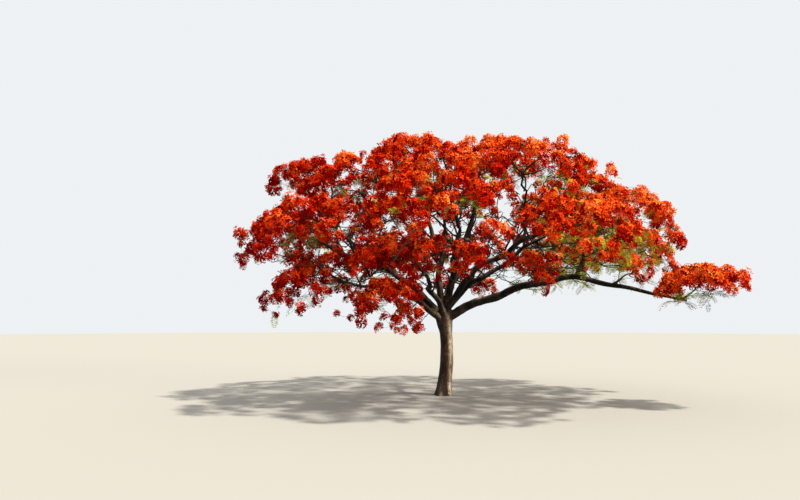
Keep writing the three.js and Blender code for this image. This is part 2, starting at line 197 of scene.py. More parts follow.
def ring_masses(ring, ring_index):
    made = []
    for k in range(ring.count):
        bearing = ring.turn + 2 * math.pi * k / ring.count
        swing = RING_WAVE.per_mass * k + RING_WAVE.per_ring * ring_index + RING_WAVE.start
        share = ring.share * (1 + ring.wave * math.sin(swing))
        middle = (
            CROWN.middle[0] + CROWN.half_length * share * math.cos(bearing),
            CROWN.middle[1] + CROWN.half_depth * share * math.sin(bearing),
            dome_height(share) - ring.half_height,
        )
        nearby = 0.05
        drop = dome_height(share - nearby) - dome_height(share + nearby)
        tilt = 0.5 * math.atan(drop / (2 * nearby * CROWN.half_length))
        seed = SEEDS.rings + SEEDS.per_ring * ring_index + k
        made.append(mass_at(f"{ring.name}_{k}", middle, ring.half_width, ring.half_height, tilt, seed))
    return made


def all_masses():
    outliers = [
        mass_at(o.name, o.at, o.half_width, o.half_height, o.tilt, SEEDS.outliers + k)
        for k, o in enumerate(OUTLIERS)
    ]
    return outliers + [mass for k, ring in enumerate(RINGS) for mass in ring_masses(ring, k)]


def entry_of(mass):
    """Where a bough enters its mass: low on the side that faces the trunk."""
    return mass.middle - mass.out * ENTRY.inwards * mass.half_width - mass.up * ENTRY.down * mass.half_height


def waved(waves, s, turn):
    return math.sin(waves * s + turn) + CROOK.fine_share * math.sin(CROOK.fine_waves * s + 2 * turn)


def bough_to(mass, start, base, lifts, crook, way_before):
    """A limb is its line and its radius, both from 0 at the foot to 1 at the tip. plain_at is the line of its
    solid, straight between bends, which settles where other limbs and twigs leave it."""
    end = entry_of(mass)
    length = np.linalg.norm(end - start)
    steps = max(4, round(length / BEND_EVERY))
    near_share, far_share = 0.3, 0.7
    near = start + near_share * (end - start) + np.array([0, 0, lifts[0] * length])
    far = start + far_share * (end - start) + np.array([0, 0, lifts[1] * length])
    aside = unit(np.array([start[1] - end[1], end[0] - start[0], 0.0]))
    draw = seeded(mass.seed + SEEDS.boughs)
    turn_a, turn_b = 2 * math.pi * draw(), 2 * math.pi * draw()

    def point_at(s):
        swing = crook * length * math.sin(math.pi * s)
        r = 1 - s
        on_line = start * r**3 + near * 3 * s * r * r + far * 3 * s * s * r + end * s**3
        rise = CROOK.rise_share * swing * waved(CROOK.rise_waves, s, turn_b)
        return on_line + aside * swing * waved(CROOK.aside_waves, s, turn_a) + np.array([0, 0, rise])

    def radius_at(s):
        return BOUGH_TIP + (base - BOUGH_TIP) * (1 - s) ** BOUGH_TAPER

    bends = [point_at(k / steps) for k in range(steps + 1)]

    def plain_at(s):
        k = min(steps - 1, int(s * steps))
        return bends[k] + (bends[k + 1] - bends[k]) * (s * steps - k)

    return Named(
        mass=mass.name, point_at=point_at, plain_at=plain_at, radius_at=radius_at, length=length,
        way_before=way_before,
    )


def trunk_limb():
    """The trunk leans over and a little back, narrows to its waist and swells again under the fork."""

    def point_at(s):
        return np.array([TRUNK.lean * (math.sin(math.pi * s) ** 2 - 0.3 * s * s), 0.0, TRUNK.height * s])

    def radius_at(s):
        if s < TRUNK.waist_at:
            return TRUNK.foot + (TRUNK.waist - TRUNK.foot) * math.sin(math.pi / 2 * s / TRUNK.waist_at)
        if s < TRUNK.head_at:
            share = (s - TRUNK.waist_at) / (TRUNK.head_at - TRUNK.waist_at)
            return TRUNK.waist + (TRUNK.head - TRUNK.waist) * share
        return TRUNK.head + (TRUNK.tip - TRUNK.head) * ((s - TRUNK.head_at) / (1 - TRUNK.head_at)) ** 2

    return Named(mass=None, point_at=point_at, radius_at=radius_at, length=TRUNK.height)


def best_parent(mass, limbs):
    """The way out of a limb that costs least: through the air, and along the limb from its foot."""
    end = entry_of(mass)
    step = 0.02
    best = (math.inf, None, None, None)
    for limb in limbs:
        s = SIDE_BOUGH.nearest
        while s <= SIDE_BOUGH.furthest:
            plain = limb.plain_at(s)
            cost = np.linalg.norm(end - plain) + SIDE_BOUGH.way_back * (limb.way_before + s * limb.length)
            if cost < best[0]:
                best = (cost, limb, s, limb.point_at(s))
            s += step
    return best[1:]


def all_boughs(masses, trunk):
    boughs = []
    for b in MAIN_BOUGHS:
        mass = next(m for m in masses if m.name == b.mass)
        boughs.append(bough_to(mass, trunk.point_at(b.leaves), b.base, b.lifts, b.crook, 0))
    reached = {b.mass for b in MAIN_BOUGHS}
    for mass in masses:
        if mass.name in reached:
            continue
        parent, s, start = best_parent(mass, boughs)
        wanted = SIDE_BOUGH.stout + SIDE_BOUGH.per_metre * np.linalg.norm(entry_of(mass) - start)
        base = min(SIDE_BOUGH.thickest * parent.radius_at(s), wanted)
        way_before = parent.way_before + s * parent.length
        boughs.append(bough_to(mass, start, base, SIDE_BOUGH.lifts, SIDE_BOUGH.crook, way_before))
    return boughs


def space_of(mass, masses):
    """Planes between neighbours share out the space, with heights stretched as if flat masses were round."""
    stretch = np.array([1, 1, 2.3])
    own = mass.middle * stretch
    others = [other for other in masses if other is not mass]
    ways = np.array([other.middle * stretch - own for other in others])
    shares = np.array([mass.half_width / (mass.half_width + other.half_width) for other in others])
    reaches = np.linalg.norm(ways, axis=1) * shares
    normals = unit(ways)

    def in_space(point, room):
        return bool(np.all(normals @ (point * stretch - own) + room < reaches))

    return in_space


def places_in(mass, draw, count, lift):
    """Places on a golden spiral over the mass, lifted to its domed top or let down to its underside."""
    start = 2 * math.pi * draw()
    places = []
    for k in range(count):
        share = math.sqrt((k + 0.6) / count) * 0.95
        angle = start + GOLDEN * k
        height = lift.dome * math.sqrt(1 - share * share) - lift.droop * draw() * share
        flat = mass.out * math.cos(angle) + mass.across * math.sin(angle)
        places.append(mass.middle + flat * mass.half_width * share + mass.up * mass.half_height * height)
    return places


def grow_twigs(twigs, places, tip, can_carry, per_metre=TWIG.per_metre):
    """The branching rule. Each place is reached from the fork that costs least: the way to it through the
    air, and part of the way back along the twigs. Gives back the twigs that it added."""
    forks = np.array(TWIG.forks)

    def forks_of(twig):
        points = twig.start + (twig.end - twig.start) * forks[:, None]
        return points, twig.way + forks * twig.length, twig.base + (twig.tip - twig.base) * forks

    starts, ways, rooms = (np.concatenate(part) for part in zip(*[forks_of(twig) for twig in twigs]))
    added = []
    for place in places:
        lengths = np.linalg.norm(starts - place, axis=1)
        best = int(np.argmin(lengths + TWIG.way_back * ways))
        length = lengths[best]
        base = max(tip, min(TWIG.thickest * rooms[best], tip + per_metre * length))
        twig = Named(start=starts[best], end=place, way=ways[best], base=base, tip=tip, length=length)
        if not can_carry(twig):
            continue
        added.append(twig)
        points, twig_ways, twig_rooms = forks_of(twig)
        starts = np.concatenate([starts, points])
        ways = np.concatenate([ways, twig_ways])
        rooms = np.concatenate([rooms, twig_rooms])
    return added


def limb_points(limbs, spacing):
    """Points along the limbs, and the limb's radius at each."""
    points, radii = [], []
    for limb in limbs:
        for s in np.linspace(0, 1, max(8, int(limb.length / spacing))):
            points.append(limb.point_at(s))
            radii.append(limb.radius_at(s))
    return np.array(points), np.array(radii)


def carrier(places, radii, shares, room):
    """A test of whether a twig, at some shares of its length, keeps clear of the limbs by so much room."""

    def can_carry(twig):
        for s in shares:
            point = twig.start + (twig.end - twig.start) * s
            if np.any(np.linalg.norm(places - point, axis=1) < radii + room(s)):
                return False
        return True

    return can_carry


def dome_places(twig, mass, draw):
    """Places for the trusses that stand for one broad dome of blossom."""
    facing = unit(unit(twig.end - twig.start) + mass.up)
    side = unit(np.cross(facing, mass.across))
    third = np.cross(facing, side)
    turn = 2 * math.pi * draw()
    places = []
    for k in range(CLUSTER.trusses):
        share = math.sqrt((k + CLUSTER.first) / CLUSTER.trusses)
        angle = turn + GOLDEN * k + CLUSTER.turn * draw()
        flat = side * math.cos(angle) + third * math.sin(angle)
        height = DOME.height * (CLUSTER.top - CLUSTER.fall * share * share) - CLUSTER.sunk * draw()
        places.append(twig.end + flat * DOME.reach * CLUSTER.spread * share + facing * height)
    return places


def fill_places(mass, draw, in_space, taken):
    """Places for single trusses between the broad domes, each moved a little at random."""
    places = []
    left = np.clip((FILL.left_from - mass.middle[0]) / FILL.left_over, 0, 1)
    low = np.clip((FILL.low_from - mass.middle[2]) / FILL.low_over, 0, 1)
    droop = FILL.droop + FILL.droop_left * left + FILL.droop_low * low * (1 + 2 * left)
    for place in places_in(mass, draw, FILL.places, Named(dome=FILL.dome, droop=droop)):
        jitter = np.array([draw() - 0.5, draw() - 0.5, draw() - 0.5]) * 2 * FILL.jitter
        place = place + jitter + mass.up * FILL.rise * draw() ** 3
        apart = min((np.linalg.norm(place - t) for t in taken), default=1.0)
        if apart > FILL.apart and in_space(place, FILL.room):
            places.append(place)
    return places


def truss_on(twig, up, level, draw):
    """A truss on a twig's end, which faces onwards and up. level is how high it stands in its mass."""
    facing = unit(unit(twig.end - twig.start) + TRUSS.upwards * up)
    radius = TRUSS.smallest + (TRUSS.largest - TRUSS.smallest) * draw()
    return Named(middle=twig.end, facing=facing, radius=radius, turn=2 * math.pi * draw(), level=level)


def grow_mass(mass, masses, bough, limb_places, limb_radii):
    """The mass's twigs from coarse to fine, its trusses, and its leafy twigs."""
    draw = seeded(mass.seed)
    in_space = space_of(mass, masses)
    surroundings, clear_by = 1.8, 0.02
    near = np.linalg.norm(limb_places - mass.middle, axis=1) < surroundings * mass.half_width
    can_carry = carrier(limb_places[near], limb_radii[near], (0.35, 0.7, 1.0), lambda s: clear_by)
    tip_point = bough.plain_at(1.0)
    heading = unit(tip_point - bough.plain_at(0.99))
    start = tip_point + heading * CLEARANCE
    end = start + heading * STEM.length
    stem = Named(start=start, end=end, way=0, base=BOUGH_TIP, tip=STEM.tip, length=STEM.length)
    places = [p for p in places_in(mass, draw, PLACES_PER_MASS, LIFT) if in_space(p, DOME.reach)]
    coarse = grow_twigs([stem], places, TWIG.tip, can_carry)
    blossom_places = [place for twig in coarse for place in dome_places(twig, mass, draw)]
    blossom_places += fill_places(mass, draw, in_space, [twig.end for twig in coarse])
    fine = grow_twigs([stem] + coarse, blossom_places, FINE_TIP, can_carry)
    under = Named(dome=LEAFY.lift, droop=LEAFY.droop)
    leafy_places = [p for p in places_in(mass, draw, LEAFY.places, under) if in_space(p, LEAF.shortest)]
    leafy = grow_twigs([stem] + coarse, leafy_places, FINE_TIP, can_carry)
    trusses = []
    for twig in fine:
        level = float((twig.end - mass.middle) @ mass.up) / mass.half_height
        trusses.append(truss_on(twig, mass.up, level, draw))
    return Named(
        mass=mass, in_space=in_space, stem=stem, coarse=coarse, fine=fine, leafy=leafy, trusses=trusses
    )


def hanging_places(boughs, draw):
    """Places for the few trusses that hang from the low boughs on the left."""
    places = []
    for bough in boughs:
        for s in np.arange(HANGING.first, 1.0, HANGING.spacing / bough.length):
            point = bough.point_at(s)
            moved = np.array([draw() - 0.5, draw() - 0.5, 0]) * 2 * HANGING.aside
            drop = HANGING.drop[0] + (HANGING.drop[1] - HANGING.drop[0]) * draw()
            if point[2] < HANGING.highest and point[0] < HANGING.right:
                places.append(point + moved - np.array([0, 0, drop]))
    return places


def inner_places(draw):
    """Places spread evenly over the crown, each at a height of its own between the boughs and the dome."""
    places = []
    for k in range(INNER.places):
        share = INNER.furthest * math.sqrt((k + 0.5) / INNER.places)
        angle = GOLDEN * k
        room = dome_height(share) - INNER.under - INNER.lowest
        if room > 0:
            x = CROWN.middle[0] + CROWN.half_length * share * math.cos(angle)
            y = CROWN.middle[1] + CROWN.half_depth * share * math.sin(angle)
            places.append(np.array([x, y, INNER.lowest + room * draw()]))
    return places


def bough_as_twigs(bough):
    """A bough as short straight twigs, from which others may branch."""
    count = max(4, int(bough.length / INNER.span))
    for k in range(count // INNER.bare_part, count):
        s, t = k / count, (k + 1) / count
        start, end = bough.point_at(s), bough.point_at(t)
        yield Named(
            start=start, end=end, way=bough.way_before + s * bough.length, base=bough.radius_at(s),
            tip=bough.radius_at(t), length=np.linalg.norm(end - start),
        )


def grow_inside(boughs, limb_places, limb_radii):
    """Crooked bare twigs that fill the room between the boughs and the masses over them, some with trusses,
    and the hanging ones."""
    draw = seeded(INNER.seed)
    limbs = [twig for bough in boughs for twig in bough_as_twigs(bough)]
    can_carry = carrier(limb_places, limb_radii, (0.5, 1.0), lambda s: INNER.room * s)
    coarse = grow_twigs(limbs, inner_places(draw), INNER.tip, can_carry, INNER.per_metre)
    flat = Named(up=np.array([0, 0, 1.0]), across=np.array([1.0, 0, 0]))
    blossom_places = []
    for twig in coarse:
        if draw() < INNER.flowering:
            blossom_places += dome_places(twig, flat, draw)[: 1 + int(INNER.trusses * draw())]
    fine = grow_twigs(coarse, blossom_places, FINE_TIP, can_carry)
    fine += grow_twigs(limbs + coarse, hanging_places(boughs, draw), FINE_TIP, can_carry)
    trusses = [truss_on(twig, flat.up, INNER.level, draw) for twig in fine]
    return Named(coarse=coarse, fine=fine, trusses=trusses)


def linked(name, data):
    made = bpy.data.objects.new(name, data)
    bpy.context.scene.collection.objects.link(made)
    return made


# Many small things as joined meshes from arrays.
def mesh_object(name, vertices, faces, material):
    mesh = bpy.data.meshes.new(name)
    mesh.vertices.add(len(vertices))
    mesh.vertices.foreach_set("co", vertices.astype(np.float32).ravel())
    mesh.loops.add(faces.size)
    mesh.loops.foreach_set("vertex_index", faces.astype(np.int32).ravel())
    mesh.polygons.add(len(faces))
    mesh.polygons.foreach_set("loop_start", np.arange(0, faces.size, faces.shape[1], dtype=np.int32))
    mesh.update(calc_edges=True)
    mesh.validate()
    mesh.materials.append(material)
    return linked(name, mesh)


def joined(parts):
    """Several (vertices, faces) pairs as one."""
    vertices, faces, count = [], [], 0
    for v, f in parts:
        vertices.append(v)
        faces.append(f + count)
        count += len(v)
    return np.concatenate(vertices), np.concatenate(faces)


def arrays_of(things, *fields):
    """One array for each of these fields, with a row for each thing."""
    return [np.array([getattr(thing, field) for thing in things]) for field in fields]


def axes_for(ways, turns):
    """For each way, two more ways square to it and to each other, turned about it."""
    helper = np.where(np.abs(ways[:, 2:3]) > 0.9, [[1.0, 0, 0]], [[0, 0, 1.0]])
    side = unit(np.cross(helper, ways))
    third = np.cross(ways, side)
    cos, sin = np.cos(turns)[:, None], np.sin(turns)[:, None]
    return side * cos + third * sin, third * cos - side * sin


def copies(shape, axes, middles):
    """Copies of a shape, each laid along its own three axes at its own middle."""
    vertices, faces = shape
    placed = vertices[None] @ axes + middles[:, None]
    many = faces[None] + (np.arange(len(middles)) * len(vertices))[:, None, None]
    return placed.reshape(-1, 3), many.reshape(-1, 3)


def bent_tubes(twigs, sides, steps, bend, rng):
    """Tapered tubes, one for each twig, bent twice on their way, with a point at each end."""
    starts, ends, lengths, bases, tips = arrays_of(twigs, "start", "end", "length", "base", "tip")
    side, third = axes_for(unit(ends - starts), rng.uniform(0, 2 * math.pi, len(twigs)))
    s = np.linspace(0, 1, steps + 1)
    bow = np.sin(math.pi * s) * (bend * lengths * rng.uniform(*BENDS.share, len(twigs)))[:, None]
    wound = BENDS.wind * bend * lengths * rng.uniform(*BENDS.share, len(twigs))
    wind = np.sin(2 * math.pi * s) * wound[:, None]
    centres = starts[:, None] + (ends - starts)[:, None] * s[None, :, None]
    centres = centres + side[:, None] * bow[..., None] + third[:, None] * wind[..., None]
    radii = bases[:, None] + (tips - bases)[:, None] * s
    angles = 2 * math.pi * np.arange(sides) / sides
    circle = side[:, None] * np.cos(angles)[None, :, None] + third[:, None] * np.sin(angles)[None, :, None]
    rings = centres[:, :, None] + circle[:, None] * radii[:, :, None, None]
    per = (steps + 1) * sides + 2
    vertices = np.concatenate([rings.reshape(len(twigs), -1, 3), starts[:, None], ends[:, None]], axis=1)
    one = []
    for j in range(sides):
        after = (j + 1) % sides
        for i in range(steps):
            a, b = i * sides + j, i * sides + after
            one += [(a, b, b + sides), (a, b + sides, a + sides)]
        one.append((per - 2, after, j))
        one.append((per - 1, steps * sides + j, steps * sides + after))
    faces = np.array(one)[None] + (np.arange(len(twigs)) * per)[:, None, None]
    return vertices.reshape(-1, 3), faces.reshape(-1, 3)


def flower_shape(rng):
    """Five pointed petals of two faces each, about 1 in radius, open towards +Z, their tips curled down."""
    vertices, faces = [], []
    up = np.array([0, 0, 1.0])
    for k in range(PETALS):
        angle = 2 * math.pi * (k + rng.uniform(-PETAL.askew, PETAL.askew)) / PETALS
        way = np.array([math.cos(angle), math.sin(angle), 0])
        wide = np.array([-math.sin(angle), math.cos(angle), 0])
        lift, curl = rng.uniform(*PETAL.lift), rng.uniform(*PETAL.curl)
        twist = rng.uniform(-PETAL.twist, PETAL.twist)
        first, broad = len(vertices), rng.uniform(*PETAL.broad)
        vertices += [
            way * PETAL.heart,
            way * PETAL.widest + wide * broad + up * (lift + twist),
            way * PETAL.widest - wide * broad + up * (lift - twist),
            way * rng.uniform(*PETAL.reach) + up * (lift - curl),
        ]
        faces += [(first, first + 2, first + 1), (first + 1, first + 2, first + 3)]
    return np.array(vertices), np.array(faces)


def truss_pattern(rng):
    """Where the flowers of a truss stand and face: a ragged dome about 1 in radius that faces +Z, round a few
    broader ones inside, whose deeper tint is painted shade inside the truss."""
    count = TRUSS.flowers
    k = np.arange(count)
    inner = k % (count // TRUSS.inner) == 1
    polar = np.arccos(1 - TRUSS_DOME.round * (k + 0.5) / count)
    angle = GOLDEN * k + rng.uniform(-TRUSS_DOME.askew, TRUSS_DOME.askew, count)
    ways = np.stack([np.sin(polar) * np.cos(angle), np.sin(polar) * np.sin(angle), np.cos(polar)], axis=1)
    middles = ways * np.where(inner, INNER_FLOWER.at, rng.uniform(*TRUSS_DOME.flowers_at, count))[:, None]
    askew = rng.uniform(-TRUSS_DOME.askew, TRUSS_DOME.askew, (count, 3))
    facings = unit(ways + askew + np.array([0, 0, TRUSS_DOME.upwards]))
    sizes = np.where(inner, INNER_FLOWER.size, rng.uniform(*TRUSS_DOME.sizes, count))
    return middles, facings, sizes, np.where(inner, INNER_FLOWER.tint, 0.0)


def lay_flowers(trusses, rng):
    """Every flower of every truss: its middle, facing, size and how light its tint is, from 0 to 1, with
    painted light and shade in it.
    """
    patterns = [truss_pattern(rng) for _ in range(TRUSS.kinds)]
    kinds = rng.integers(0, TRUSS.kinds, len(trusses))
    middles, facings, sizes, tints = [], [], [], []
    for kind, (places, ways, reach, painted_inner_shade) in enumerate(patterns):
        own = [t for t, k in zip(trusses, kinds) if k == kind]
        at, towards, radius, turns, levels = arrays_of(own, "middle", "facing", "radius", "turn", "level")
        x, y = axes_for(towards, turns)
        axes = np.stack([x, y, towards], axis=1)
        middles.append((at[:, None] + (places[None] @ axes) * radius[:, None, None]).reshape(-1, 3))
        facings.append((ways[None] @ axes).reshape(-1, 3))
        sizes.append((reach[None] * radius[:, None]).ravel())
        # Painted light and shade: flowers high in a truss are painted paler, low ones and the inner ones
        # deeper.
        risen = (middles[-1].reshape(len(own), -1, 3) - at[:, None])[..., 2] / radius[:, None]
        tints.append((tint_with_painted_light(at, levels, rng)[:, None] + TRUSS.shade * risen + painted_inner_shade[None]).ravel())
    tints = np.concatenate(tints)
    tints += rng.normal(0, TINT.by_flower, len(tints))
    return np.concatenate(middles), np.concatenate(facings), np.concatenate(sizes), tints


# Where petals are light: how much comes from each cause, and where the crown's foot and left end are.
# and by_flower are tone that differs at random, with neighbours alike.
# height, side and level are painted light and shade: the crown's high and right-hand parts and the tops of
# masses are painted paler, its low and left-hand parts and the undersides of masses deeper. clump, by_truss
TINT = Named(
    start=0.165, height=0.18, side=0.355, level=0.14, clump=0.32, clump_waves=1.7, by_truss=0.09,
    by_flower=0.07, foot=2.0, tall=3.8, left=-4.5, wide=10.0,
)

# The tints of the petals, from the deepest to the lightest, dealt out partly as painted light and shade, and
# those of the leaves.
BLOSSOM_TINTS = {
    "blossom_deep": (0.24, 0.002, 0.001),
    "blossom_red": (0.45, 0.01, 0.002),
    "blossom_scarlet": (0.64, 0.038, 0.005),
    "blossom_flame": (0.78, 0.095, 0.012),
    "blossom_orange": (0.86, 0.2, 0.03),
}
LEAF_TINTS = {"leaves_olive": (0.08, 0.11, 0.008), "leaves_bright": (0.33, 0.35, 0.016)}
# The twigs' bark: their own dark brown, darkened further as painted shade of the crown.
TWIG_COLOUR = (0.035, 0.024, 0.02)


def tint_with_painted_light(places, levels, rng):
    """Painted light and shade: trusses on the tops of their masses, high up and out on the right are painted
    the palest, and those on the undersides and low on the left the deepest. Neighbours are alike, so that
    they read as clumps."""
    height = (places[:, 2] - TINT.foot) / TINT.tall
    side = (places[:, 0] - TINT.left) / TINT.wide
    clump = np.array([noise.noise(Vector(p) * TINT.clump_waves) for p in places])
    painted_light_and_clumps = TINT.start + TINT.height * height + TINT.side * side + TINT.level * levels + TINT.clump * clump
    return painted_light_and_clumps + rng.normal(0, TINT.by_truss, len(places))


def finish_piece(piece, replaced=()):
    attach(piece, "root")
    if replaced:
        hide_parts(*replaced)


def within_reach(truss):
    """Whether a truss keeps, flowers and all, to the box that the solids fill, or close to it."""
    low, high = np.array(CAD_BOX)
    room = TRUSS.past - TRUSS.outermost * truss.radius
    return np.all(truss.middle > low - room) and np.all(truss.middle < high + room)


def pieces_by_tint(tints, steps, shapes, kinds, axes, middles, slot_name, *surface):
    """A piece for each tint, of the copies that have its step, each in the shape of its own kind."""
    for step, (name, colour) in enumerate(tints.items()):
        parts = []
        for kind, shape in enumerate(shapes):
            own = (steps == step) & (kinds == kind)
            parts.append(copies(shape, axes[own], middles[own]))
        piece = mesh_object(name, *joined(parts), plain_material(name, colour, *surface))
        finish_piece(piece)


def blossom_pieces(grown, inside, rng):
    trusses = [truss for growth in grown + [inside] for truss in growth.trusses if within_reach(truss)]
    middles, facings, sizes, tints = lay_flowers(trusses, rng)
    shapes = [flower_shape(rng) for _ in range(FLOWER_KINDS)]
    kinds = rng.integers(0, FLOWER_KINDS, len(middles))
    x, y = axes_for(facings, rng.uniform(0, 2 * math.pi, len(middles)))
    axes = np.stack([x, y, facings], axis=1) * sizes[:, None, None]
    # Each flower goes to the piece of its tint, so the five pieces carry the painted light and shade.
    steps = np.clip((tints * len(BLOSSOM_TINTS)).astype(int), 0, len(BLOSSOM_TINTS) - 1)
    pieces_by_tint(BLOSSOM_TINTS, steps, shapes, kinds, axes, middles, "blossom", 0.6)


def twig_piece(grown, inside, rng):
    coarse = [twig for growth in grown for twig in growth.coarse]
    fine = [twig for growth in grown for twig in growth.fine + growth.leafy] + inside.fine
    parts = [
        bent_tubes([growth.stem for growth in grown], sides=8, steps=2, bend=0.0, rng=rng),
        bent_tubes(coarse, sides=6, steps=5, bend=0.07, rng=rng),
        bent_tubes(inside.coarse, sides=5, steps=6, bend=0.09, rng=rng),
        bent_tubes(fine, sides=3, steps=3, bend=0.08, rng=rng),
    ]
    piece = mesh_object("twigs", *joined(parts), plain_material("twig_bark", TWIG_COLOUR, 0.85))
    finish_piece(piece, [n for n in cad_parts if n.startswith("blossom_")])


def leaf_shape(rng):
    """A feathery leaf, 1 long along +X and flat across +Z: a bowed rib with pairs of narrow pinnae."""
    vertices, faces = [], []
    up = np.array([0, 0, 1.0])

    def rib(s):
        return np.array([s, 0, LEAF.bow * math.sin(math.pi * s) - LEAF.droop * s * s])

    for s in (0, 0.5, 1.0):
        half = np.array([0, LEAF.rib * (1 - LEAF.narrowing * s), 0])
        vertices += [rib(s) + half, rib(s) - half]
    for a in (0, 2):
        faces += [(a, a + 1, a + 3), (a, a + 3, a + 2)]
    for k in range(LEAF.pairs):
        s = PINNA.first + (1 - PINNA.first) * (k + 0.3) / LEAF.pairs
        swell = math.sin(math.pi * (PINNA.first + 0.78 * s)) ** 0.7
        reach = PINNA.reach * swell * rng.uniform(*PINNA.uneven)
        for hand in (1, -1):
            way = unit(np.array([PINNA.ahead + PINNA.more_ahead * s, hand, rng.uniform(*PINNA.sinks)]))
            broad = unit(np.cross(up, way)) * PINNA.broad
            root, first = rib(s), len(vertices)
            middle = root + way * reach * 0.5
            vertices += [root, middle + broad, middle - broad, root + way * reach]
            faces += [(first, first + 2, first + 1), (first + 1, first + 2, first + 3)]
    return np.array(vertices), np.array(faces)


def leaf_on(twig, mass, side, rng):
    """A leaf that springs from a twig and reaches out over the mass, drooping a little. side is how near the
    leafiest part of the crown it is, from 0 to 1."""
    root = twig.start + (twig.end - twig.start) * rng.uniform(LEAF.from_twig, 1.0)
    angle = rng.uniform(0, 2 * math.pi)
    flat = mass.out * math.cos(angle) + mass.across * math.sin(angle)
    onwards = LEAF.onwards * unit(twig.end - twig.start)
    way = unit(flat + onwards - mass.up * rng.uniform(0.0, LEAF.sinks))
    length = rng.uniform(LEAF.shortest, LEAF.longest)
    return Named(root=root, way=way, length=length, up=mass.up, side=side, tip=root + way * length)


def lay_leaves(grown, inside, rng):
    """Where the leaves grow: most on the leafy twigs of the underside, some behind the trusses, and most of
    all low on the right, where the inner twigs carry them too."""

    def wanted_on(twig, wanted):
        side = max(0.0, 1 - abs(twig.end[0] - LEAFY.middle) / LEAFY.half_width)
        return side, int(wanted * (LEAFY.least + LEAFY.more * side) + rng.uniform(0, 1))

    leaves = []
    for growth in grown:
        mass = growth.mass
        for twigs, wanted in ((growth.leafy, LEAFY.under), (growth.fine, LEAFY.behind)):
            for twig in twigs:
                side, count = wanted_on(twig, wanted)
                for _ in range(count):
                    leaf = leaf_on(twig, mass, side, rng)
                    reach = np.linalg.norm(np.stack([mass.out, mass.across]) @ (leaf.tip - mass.middle))
                    if reach < mass.half_width and growth.in_space(leaf.tip, LEAFY.room):
                        leaves.append(leaf)
    flat = Named(out=np.array([1.0, 0, 0]), across=np.array([0, 1.0, 0]), up=np.array([0, 0, 1.0]))
    for twig in inside.coarse:
        side, count = wanted_on(twig, LEAFY.inner)
        leaves += [leaf_on(twig, flat, side, rng) for _ in range(count if side > 0 else 0)]
    return leaves


def leaf_pieces(grown, inside, rng):
    leaves = lay_leaves(grown, inside, rng)
    shapes = [leaf_shape(rng) for _ in range(LEAF.kinds)]
    kinds = rng.integers(0, LEAF.kinds, len(leaves))
    roots, ways, lengths, ups, sides = arrays_of(leaves, "root", "way", "length", "up", "side")
    least_bright, more_bright = 0.3, 0.6
    bright = rng.uniform(0, 1, len(leaves)) < least_bright + more_bright * sides
    ups = ups + rng.uniform(-LEAF.tilt, LEAF.tilt, (len(leaves), 3))
    across = unit(np.cross(ups, ways))
    axes = np.stack([ways, across, np.cross(ways, across)], axis=1) * lengths[:, None, None]
    pieces_by_tint(LEAF_TINTS, bright.astype(int), shapes, kinds, axes, roots, "leaf", 0.55, 0.1)


# Materials. A ramp is a list of places from 0 to 1, each with its colour.
WHITE = (1.0, 1.0, 1.0)
BARK = Named(
    stretch=0.45, patches=5.0, grain=38.0, pores=120.0, cracks=15.0, wander=7.0, push=0.22,
    # The boughs' ramp is darker than the trunk's, partly as their own colour and partly as painted shade of
    # the crown.
    low=[(0.36, (0.22, 0.14, 0.085)), (0.48, (0.58, 0.42, 0.28)), (0.6, (0.9, 0.74, 0.54))],
    high=[(0.38, (0.045, 0.03, 0.026)), (0.52, (0.115, 0.08, 0.062)), (0.62, (0.5, 0.38, 0.28))],
    # The ramp on the sunny attribute is painted sunlight and shade: sides facing away from the light go dark.
    sunny=[(0.4, (0.11, 0.1, 0.1)), (0.6, (0.2, 0.17, 0.16)), (0.76, WHITE)],
    # The ramp on the relief attribute is painted shade: low places of the relief go dark.
    hollows=[(0.25, (0.42, 0.38, 0.35)), (0.6, WHITE), (0.9, (1.0, 0.97, 0.93))],
    dark_grain=[(0.4, (0.45, 0.4, 0.36)), (0.56, WHITE)],
    in_cracks=[(0.0, (0.3, 0.25, 0.22)), (0.07, WHITE)],
    plates=[(0.0, (0.0, 0.0, 0.0)), (0.14, WHITE)],
)


def new_material(name, roughness, specular):
    made = bpy.data.materials.new(name)
    made.use_nodes = True
    shader = made.node_tree.nodes["Principled BSDF"]
    shader.inputs["Roughness"].default_value = roughness
    shader.inputs["Specular IOR Level"].default_value = specular
    return made, shader


def plain_material(name, colour, roughness, specular=0.0):
    """For what is dealt out by spray: one base colour all over."""
    made, shader = new_material(name, roughness, specular)
    shader.inputs["Base Color"].default_value = (*colour, 1)
    return made


